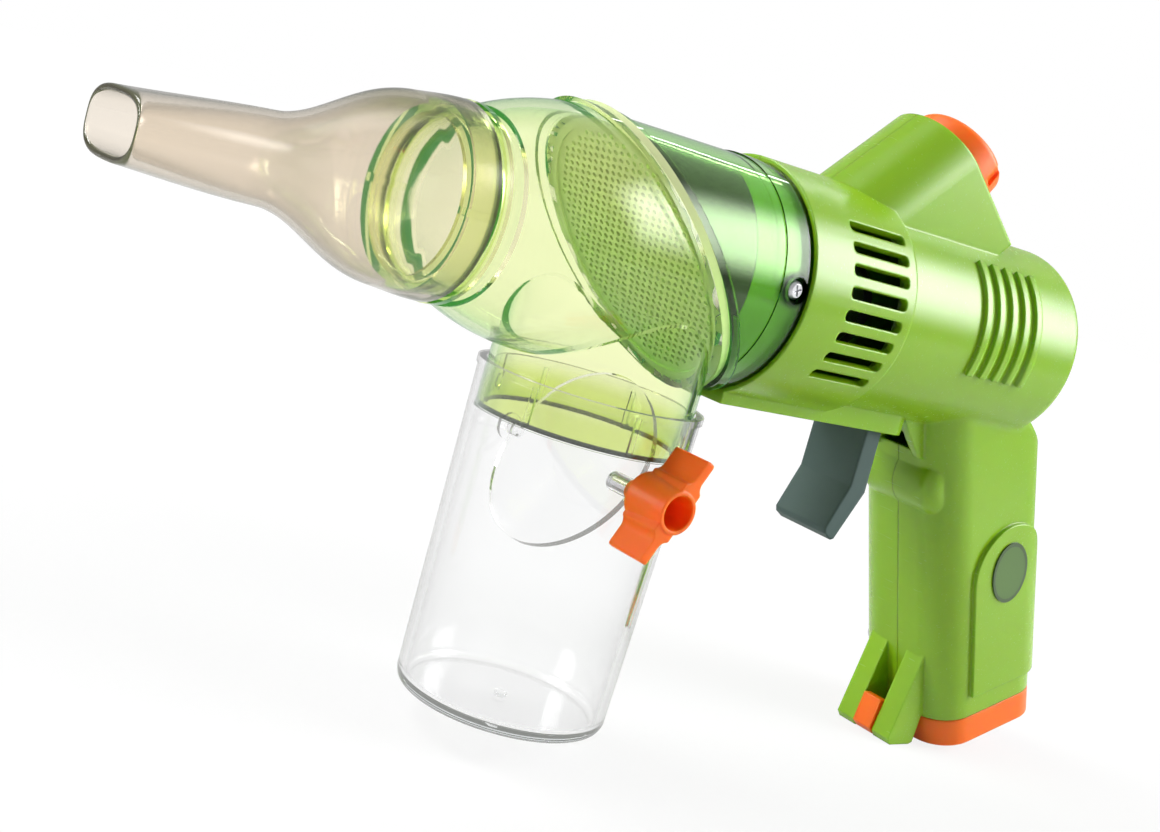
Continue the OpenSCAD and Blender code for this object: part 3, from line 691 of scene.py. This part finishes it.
@dataclass
class Housing:
    """Lime housing halves, their screws and the plain inlay."""

    lime: Colour = linear(138, 179, 18)
    lime_shade: Colour = linear(114, 170, 12)
    zinc: Colour = (0.68, 0.68, 0.7)
    edge: float = 0.0008
    grip_root: Place = (0.131, 0.019, 0.092)
    grip_fillet: float = 0.005
    seam: float = 0.00022
    seam_top: float = 0.1
    inlay_centre: Place = (0.15774, -0.0197, 0.05090)

    def dress(self, frame: Frame, effects: Effects) -> None:
        """Dresses the housing.

        Args:
            effects: The shared shader groups.
        """
        lime = MouldedPlastic(
            "lime_plastic", self.lime, self.lime_shade, rough=0.25, edge=self.edge, glow=0.35,
            fillet=self.grip_fillet, fillet_place=self.grip_root, seam=self.seam, seam_top=self.seam_top)
        dress(frame, lime.build(effects), ["housing_left", "housing_right"])
        zinc = PlatedMetal("zinc_screws", self.zinc)
        dress(frame, zinc.build(effects), ["housing_screws", "sleeve_screws"])
        up = (-math.sin(GRIP_RAKE), 0.0, math.cos(GRIP_RAKE))
        back = (math.cos(GRIP_RAKE), 0.0, math.sin(GRIP_RAKE))
        inlay = PlainInlay("plain_inlay", self.inlay_centre, up, back)
        dress(frame, inlay.build(effects), ["badge_inlay"])


@dataclass(frozen=True)
class NozzleLoft:
    """Smooth nozzle: a round bell that runs into a flattened tube, with the sizes of the CAD loft in metres.

    The values that end in start or end are distances in front of the rear rim, and those that end in past are
    distances beyond the mouth.
    """

    rear: float = -0.0557
    mouth: float = -0.1290
    axis_height: float = 0.1133
    wall: float = 0.0014
    lip_share: float = 0.4
    lip_turns: Tuple[float, ...] = (30.0, 60.0, 90.0)
    socket_radius: float = 0.02035
    socket_depth: float = 0.0073
    socket_slope: float = 0.004
    bell_rear: float = 0.02175
    bell_front: float = 0.0203
    bell_end: float = 0.0163
    neck_start: float = 0.0123
    neck_end: float = 0.0413
    tube_half_height: float = 0.0096
    tube_half_width: float = 0.0099
    mouth_half_height: float = 0.0063
    mouth_half_width: float = 0.01215
    flatten_start: float = 0.0363
    flatten_past: float = 0.014
    widen_start: float = 0.0343
    widen_past: float = 0.006
    mouth_drop: float = 0.0011
    drop_start: float = 0.0143
    square_start: float = 0.0393
    crease: float = math.radians(45.0)
    around: int = 96
    along: int = 56

    def ramp(self, start: float, end: float, x: float) -> float:
        """Gives an eased share of the way.

        Args:
            start: Distance in front of the rear rim where the change starts.
            end: Distance in front of the rear rim where it ends.
            x: Place along the barrel.

        Returns:
            The share, 0 to 1.
        """
        share = min(1.0, max(0.0, (self.rear - x - start) / (end - start)))
        return share * share * (3.0 - 2.0 * share)

    def angles(self) -> List[float]:
        """Gives the angles of a section's points."""
        return [math.tau * step / self.around for step in range(self.around)]

    def ring(self, x: float, inset: float) -> List[Vector]:
        """Gives one cross-section.

        Args:
            x: Place along the barrel.
            inset: Distance inside the outer skin.

        Returns:
            The points of the section, a rounded square that turns rounder towards the bell.
        """
        length = self.rear - self.mouth
        bell = between(self.bell_rear, self.bell_front, self.ramp(0.0, self.bell_end, x))
        high = between(self.tube_half_height, self.mouth_half_height,
                       self.ramp(self.flatten_start, length + self.flatten_past, x))
        wide = between(self.tube_half_width, self.mouth_half_width,
                       self.ramp(self.widen_start, length + self.widen_past, x))
        neck = self.ramp(self.neck_start, self.neck_end, x)
        half_width = between(bell, wide, neck) - inset
        half_height = between(bell, high, neck) - inset
        middle = self.axis_height - self.mouth_drop * self.ramp(self.drop_start, length, x)
        power = 2.0 / (2.0 + self.ramp(self.square_start, length, x))
        points = []
        for angle in self.angles():
            side, top = math.cos(angle), math.sin(angle)
            points.append(Vector((x, half_width * math.copysign(abs(side) ** power, side),
                                  middle + half_height * math.copysign(abs(top) ** power, top))))
        return points

    def lip_ring(self, turn: float, inner: bool) -> List[Vector]:
        """Gives a cross-section of the mouth's rounded lip.

        Args:
            turn: Degrees around the lip from the straight wall.
            inner: Whether it lies on the inner side of the wall.

        Returns:
            The points of the section.
        """
        lip = self.lip_share * self.wall
        inset = lip * (1.0 - math.cos(math.radians(turn)))
        x = self.mouth + lip * (1.0 - math.sin(math.radians(turn)))
        return self.ring(x, self.wall - inset if inner else inset)

    def socket(self, x: float) -> List[Vector]:
        """Gives the round socket's section at a place along the barrel."""
        return [Vector((x, self.socket_radius * math.cos(angle),
                        self.axis_height + self.socket_radius * math.sin(angle))) for angle in self.angles()]

    def build(self) -> bpy.types.Object:
        """Builds the nozzle as one closed skin, with a rounded lip at the mouth.

        Returns:
            The nozzle.
        """
        front = self.mouth + self.lip_share * self.wall
        places = [self.rear + (front - self.rear) * step / self.along for step in range(self.along + 1)]
        ledge = self.rear - self.socket_depth
        rings = [self.ring(x, 0.0) for x in places]
        rings += [self.lip_ring(turn, False) for turn in self.lip_turns]
        rings += [self.lip_ring(turn, True) for turn in reversed(self.lip_turns)]
        rings += [self.ring(x, self.wall) for x in reversed(places) if x < ledge - self.socket_slope]
        rings += [self.socket(ledge), self.socket(self.rear)]
        count = len(rings)
        faces = []
        for number in range(count):
            here, following = number * self.around, (number + 1) % count * self.around
            for step in range(self.around):
                after = (step + 1) % self.around
                faces.append((here + step, following + step, following + after, here + after))
        mesh = bpy.data.meshes.new("nozzle_skin")
        mesh.from_pydata([point for ring in rings for point in ring], [], faces)
        mesh.shade_smooth()
        mesh.set_sharp_from_angle(angle=self.crease)
        return put_in_scene("nozzle_skin", mesh)


@dataclass
class SuctionHead:
    """Nozzle, clear chamber, rear sleeve, screen, jar and flap."""

    ledge_height: float = 0.0815
    thick_height: float = 0.0745
    foot_rim: float = 0.0009
    foot_fade: float = 0.00005
    spigot_rear: float = -0.0495
    spigot_front: float = -0.0545
    recess_depth: float = 0.0012
    recess_reach: float = 0.0054
    screen_middle: float = 0.106
    screen_top: float = 0.136
    screen_low: float = 0.104
    screen_foot: float = 0.086
    bell_shade: float = 0.011
    bell_top: float = 0.021
    rim_start: float = 0.0012
    rim_full: float = 0.0005
    green_ior: float = 1.33

    def chamber(self) -> ClearPlastic:
        """Gives the chamber's finish, deeper at the jar's sleeve, at its foot and at the nozzle's spigot."""
        foot = float(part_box("suction_chamber")[0][2]) + self.foot_rim
        return ClearPlastic(
            "clear_green", (0.97, 0.985, 0.78), (0.1, 0.52, 0.16), (0.74, 0.94, 0.2), 40.0,
            ior=self.green_ior, edge_reach=0.5, edge_fall=3.0, painted_trapped_glow=(0.07, 0.31, 0.10),
            bands=(Band(Axis.UP, self.ledge_height, self.thick_height, (0.69, 0.79, 0.25)),
                   Band(Axis.UP, foot + self.foot_fade, foot, (0.05, 0.06, 0.05)),
                   Band(Axis.ALONG, self.spigot_rear, self.spigot_front, (0.84, 0.90, 0.52))))

    def sleeve(self) -> ClearPlastic:
        """Gives the rear sleeve's finish, with painted shade in the recesses of its screws."""
        low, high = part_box("sleeve_screws")
        screw = (0.5 * float(low[0] + high[0]), float(high[1]) - self.recess_depth,
                 0.5 * float(low[2] + high[2]))
        return ClearPlastic(
            "clear_green_sleeve", (0.65, 0.9, 0.48), (0.14, 0.55, 0.2), (0.5, 0.86, 0.2), 60.0,
            ior=self.green_ior, painted_trapped_glow=(0.03, 0.2, 0.06), recess=screw, recess_reach=self.recess_reach)

    def screen(self) -> ClearPlastic:
        """Gives the screen's finish, with a painted highlight that pales it towards the top and painted shade
        that deepens it towards the foot.
        """
        return ClearPlastic(
            "clear_green_screen", (0.74, 1.0, 0.34), (0.3, 0.7, 0.2), (0.6, 0.9, 0.2), 30.0, rough=0.2,
            ior=self.green_ior, clear=0.25, painted_trapped_glow=(0.07, 0.31, 0.08),
            # Painted highlight in the upper band, painted shade in the lower band.
            bands=(Band(Axis.UP, self.screen_middle, self.screen_top, (0.95, 1.0, 0.56)),
                   Band(Axis.UP, self.screen_low, self.screen_foot, (0.5, 0.9, 0.2))))

    def jar(self) -> ClearPlastic:
        """Gives the finish of the jar and its flap."""
        return ClearPlastic(
            "clear_jar", (1.0, 1.0, 1.0), (0.55, 0.54, 0.55), (0.45, 0.5, 0.5), 14.0, rough=0.02)

    def smoke(self, loft: NozzleLoft) -> ClearPlastic:
        """Gives the nozzle's finish, with painted shade at the top of its bell, and darker at its rear rim.
        """
        top = loft.axis_height
        return ClearPlastic(
            "smoke_nozzle", (0.915, 0.85, 0.765), (0.22, 0.22, 0.21), (0.62, 0.52, 0.34), 70.0, rough=0.05,
            edge_reach=0.5, edge_fall=2.2, painted_trapped_glow=(0.16, 0.19, 0.10),
            # Painted shade: the top of the bell darkens.
            bands=(Band(Axis.UP, top + self.bell_shade, top + self.bell_top, (0.60, 0.57, 0.42)),
                   Band(Axis.ALONG, loft.rear - self.rim_start, loft.rear - self.rim_full,
                        (0.10, 0.13, 0.07))))

    def dress(self, frame: Frame, effects: Effects) -> None:
        """Dresses the clear pieces and puts the smooth nozzle in place of the faceted one.

        Args:
            effects: The shared shader groups.
        """
        dress(frame, self.chamber().build(effects), ["suction_chamber"])
        dress(frame, self.sleeve().build(effects), ["rear_sleeve"])
        dress(frame, self.screen().build(effects), ["insect_screen"])
        dress(frame, self.jar().build(effects), ["collecting_jar", "flap_disc"])
        loft = NozzleLoft()
        smoke = self.smoke(loft).build(effects)
        nozzle = loft.build()
        nozzle.data.materials.append(smoke)
        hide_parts("nozzle")
        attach(nozzle, "nozzle")
        LOG.info("nozzle: %s", smoke.name)


@dataclass
class Controls:
    """Trigger, dial, wing knob and battery door with their small metal pieces."""

    orange: Colour = linear(246, 116, 10)
    orange_shade: Colour = linear(238, 100, 6)
    slate: Colour = linear(74, 92, 88)
    slate_shade: Colour = linear(67, 85, 82)
    steel: Colour = (0.62, 0.62, 0.64)
    zinc: Colour = (0.7, 0.7, 0.72)
    orange_edge: float = 0.0007
    trigger_edge: float = 0.0012
    trigger_travel: float = 0.005

    def dress(self, frame: Frame, effects: Effects) -> None:
        """Dresses the controls.

        Args:
            effects: The shared shader groups.
        """
        orange = MouldedPlastic("orange_plastic", self.orange, self.orange_shade, rough=0.38,
                                edge=self.orange_edge, glow=0.8, glow_reach=(1.0, 0.35, 0.1), gloss=0.35)
        dress(frame, orange.build(effects), ["wing_knob", "selector_dial", "battery_door"])
        slate = MouldedPlastic("slate_plastic", self.slate, self.slate_shade, rough=0.55,
                               grain=Grain.SPARK, edge=self.trigger_edge, gloss=0.2)
        dress(frame, slate.build(effects), ["trigger"])
        steel = PlatedMetal("spring_steel", self.steel, rough=0.22)
        dress(frame, steel.build(effects), ["trigger_spring", "contact_plates", "door_contacts"])
        self.squash_spring(frame)
        zinc = PlatedMetal("knob_screw", self.zinc, rough=0.25)
        dress(frame, zinc.build(effects), ["flap_screw"])

    def squash_spring(self, frame: Frame) -> None:
        """Gives the trigger's spring a mesh of its own.
        """
        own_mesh(frame["nodes"]["trigger_spring"])


@dataclass
class Drive:
    """Fan, motor, switches and cells inside the housing."""

    shroud: Colour = linear(44, 48, 47)
    shroud_shade: Colour = linear(34, 38, 37)
    fan: Colour = linear(70, 74, 76)
    fan_shade: Colour = linear(60, 64, 66)
    black: Colour = linear(38, 38, 40)
    black_shade: Colour = linear(30, 30, 32)
    steel: Colour = (0.6, 0.61, 0.62)
    shroud_edge: float = 0.0004
    small_edge: float = 0.0003
    cells_plus_up: Tuple[Tuple[str, bool], ...] = (
        ("cell_front_left", True), ("cell_front_right", False),
        ("cell_rear_left", False), ("cell_rear_right", True))

    def dress(self, frame: Frame, effects: Effects) -> None:
        """Dresses the inner pieces.

        Args:
            effects: The shared shader groups.
        """
        shroud = MouldedPlastic("dark_shroud", self.shroud, self.shroud_shade, rough=0.16,
                                grain=Grain.POLISHED, edge=self.shroud_edge)
        dress(frame, shroud.build(effects), ["fan_shroud", "motor_mount"])
        fan = MouldedPlastic("fan_plastic", self.fan, self.fan_shade, rough=0.33, edge=self.small_edge)
        dress(frame, fan.build(effects), ["impeller"])
        black = MouldedPlastic("switch_plastic", self.black, self.black_shade, rough=0.45,
                               grain=Grain.SPARK, edge=self.small_edge)
        dress(frame, black.build(effects), ["motor_end_cap", "trigger_switch", "dial_switch"])
        can = PlatedMetal("motor_steel", self.steel, rough=0.3, lines=2400.0)
        dress(frame, can.build(effects), ["motor_can", "motor_shaft", "motor_screws"])
        for name, plus_up in self.cells_plus_up:
            jacket = self.jacket(name, frame["nodes"][name].data, plus_up)
            dress(frame, jacket.build(effects), [name])

    @staticmethod
    def jacket(name: str, mesh: bpy.types.Mesh, plus_up: bool) -> CellJacket:
        """Finds a cell's plus end and gives its jacket.

        Args:
            name: Name of the cell's node.
            mesh: The cell's mesh.
            plus_up: Whether its plus end is the upper one.

        Returns:
            The jacket.
        """
        up = Vector((-math.sin(GRIP_RAKE), 0.0, math.cos(GRIP_RAKE)))
        runs = [vertex.co.dot(up) for vertex in mesh.vertices]
        end = max(runs) if plus_up else min(runs)
        middle = sum((vertex.co for vertex in mesh.vertices), Vector()) / len(mesh.vertices)
        plus_end = middle + up * (end - middle.dot(up))
        return CellJacket(f"jacket_{name}", tuple(plus_end), tuple(-up if plus_up else up))


@dataclass(frozen=True)
class Lamp:
    """Soft rectangular lamp: its direction from the object, its size in metres and its power in watts."""

    name: str
    way: Place
    width: float
    height: float
    power: float
    distance: float = 0.9
    rim: float = 0.4

    def hang(self, middle: Place) -> None:
        """Hangs the lamp so that it looks at the object, bright in its middle and dark at its rim.

        Args:
            middle: The object's middle.
        """
        data = bpy.data.lights.new(self.name, "AREA")
        data.shape = "RECTANGLE"
        data.size = self.width
        data.size_y = self.height
        data.energy = self.power
        data.use_nodes = True
        g = Graph(data.node_tree)
        g.tree.nodes.clear()
        across = g.axes(g.add("ShaderNodeNewGeometry").outputs["Parametric"])

        def fade(run: Socket) -> Socket:
            """Gives full light in the middle and none at the rim."""
            side = g.math("ABSOLUTE", g.math("SUBTRACT", run, 0.5))
            return g.ease(side, 0.5, 0.5 - self.rim)

        strength = g.math("MULTIPLY", fade(across.outputs["X"]), fade(across.outputs["Y"]))
        glow = g.add("ShaderNodeEmission", {"Strength": strength})
        g.feed(g.add("ShaderNodeOutputLight").inputs["Surface"], glow.outputs[0])
        out = Vector(self.way).normalized()
        place = Vector(middle) + self.distance * out
        turn = (-out).to_track_quat("-Z", "Y").to_matrix().to_4x4()
        put_in_scene(self.name, data).matrix_world = Matrix.Translation(place) @ turn


@dataclass
class Studio:
    """Camera, floor, soft light and white background."""

    camera_place: Place = (-0.25381, -0.29195, 0.12985)
    camera_turn: Place = (81.19666, -16.28885, -38.43784)
    lens: float = 51.56
    sensor: float = 36.0
    clip_near: float = 0.01
    clip_far: float = 20.0
    ambient: float = 0.1
    mirrored: float = 0.5
    near: float = 0.25
    far: float = 1.2
    near_glow: float = 1.02
    far_glow: float = 1.22
    floor_half: float = 6.0
    floor_grey: Colour = (0.72, 0.72, 0.72)
    floor_share: float = 0.82
    white: Colour = (1.0, 1.0, 1.0)
    middle: Place = (0.04, 0.0, 0.09)
    lamps: Tuple[Lamp, ...] = (
        Lamp("key", (0.7, -0.5, 0.45), 0.85, 0.9, 29.0),
        Lamp("front", (-0.15, -0.95, 0.25), 0.8, 0.8, 1.2),
        Lamp("left", (-0.9, 0.35, 0.25), 0.5, 0.5, 11.0),
        Lamp("high_left", (-0.5, 0.46, 0.73), 0.6, 0.6, 17.0),
        Lamp("strip", (0.69, 0.36, 0.63), 0.8, 0.025, 0.9),
        Lamp("top", (-0.2, 0.1, 0.97), 0.7, 0.7, 2.0))

    def camera(self) -> None:
        """Places the camera at the photograph's view."""
        data = bpy.data.cameras.new("view")
        data.sensor_width = self.sensor
        data.sensor_fit = "HORIZONTAL"
        data.lens = self.lens
        data.clip_start = self.clip_near
        data.clip_end = self.clip_far
        camera = put_in_scene("view", data)
        turn = Euler([math.radians(angle) for angle in self.camera_turn])
        camera.matrix_world = Matrix.LocRotScale(Vector(self.camera_place), turn, None)
        bpy.context.scene.camera = camera

    def seen(self, g: Graph) -> Socket:
        """Gives how much of the white a ray sees.

        A ray from the camera or through clear plastic sees all of it, and a mirrored one sees part.

        Args:
            g: The graph of the floor or the background.

        Returns:
            The share's socket.
        """
        path = g.add("ShaderNodeLightPath")
        direct = g.math("MAXIMUM", path.outputs["Is Camera Ray"], path.outputs["Is Transmission Ray"])
        return g.math("MULTIPLY_ADD", path.outputs["Is Glossy Ray"], self.mirrored, direct, clamp=True)

    def floor(self, height: float) -> None:
        """Lays the floor.

        Args:
            height: Height of the object's lowest point.
        """
        mesh = bpy.data.meshes.new("floor")
        half = self.floor_half
        corners = [(-half, -half, height), (half, -half, height), (half, half, height), (-half, half, height)]
        mesh.from_pydata(corners, [], [(0, 1, 2, 3)])
        floor = put_in_scene("floor", mesh)
        material, g, output = new_material("pale_floor")
        seen = self.seen(g)
        away = g.vector("DISTANCE", g.place(), self.middle).outputs["Value"]
        glow = g.add("ShaderNodeMapRange", {"Value": away, "From Min": self.near, "From Max": self.far,
                                            "To Min": self.near_glow, "To Max": self.far_glow})
        diffuse = g.add("ShaderNodeBsdfDiffuse", {"Color": rgba(self.floor_grey)})
        white = g.add("ShaderNodeEmission", {"Color": rgba(self.white), "Strength": glow.outputs[0]})
        share = g.math("MULTIPLY", seen, self.floor_share)
        mix = g.add("ShaderNodeMixShader", {0: share, 1: diffuse.outputs[0], 2: white.outputs[0]})
        g.feed(output.inputs["Surface"], mix.outputs[0])
        mesh.materials.append(material)
        floor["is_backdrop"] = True

    def world(self) -> None:
        """Sets the white background and the soft surrounding light."""
        world = bpy.data.worlds.new("studio")
        bpy.context.scene.world = world
        world.use_nodes = True
        g = Graph(world.node_tree)
        g.tree.nodes.clear()
        strength = g.math("MULTIPLY_ADD", self.seen(g), 1.0 - self.ambient, self.ambient)
        light = g.add("ShaderNodeBackground", {"Color": rgba(self.white), "Strength": strength})
        g.feed(g.add("ShaderNodeOutputWorld").inputs["Surface"], light.outputs[0])

    def build(self, lowest: float) -> None:
        """Builds the studio.

        Args:
            lowest: Height of the object's lowest point.
        """
        bpy.context.scene.view_settings.view_transform = "Standard"
        self.camera()
        self.floor(lowest)
        self.world()
        for lamp in self.lamps:
            lamp.hang(self.middle)


def main() -> None:
    """Loads the frame, dresses each sub-assembly and builds the studio."""
    logging.basicConfig(level=logging.INFO, format="%(message)s")
    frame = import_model()
    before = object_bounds()
    effects = Effects()
    for assembly in (Housing(), SuctionHead(), Controls(), Drive()):
        assembly.dress(frame, effects)
    Studio().build(float(before[0][2]))


if __name__ == "__main__":
    main()
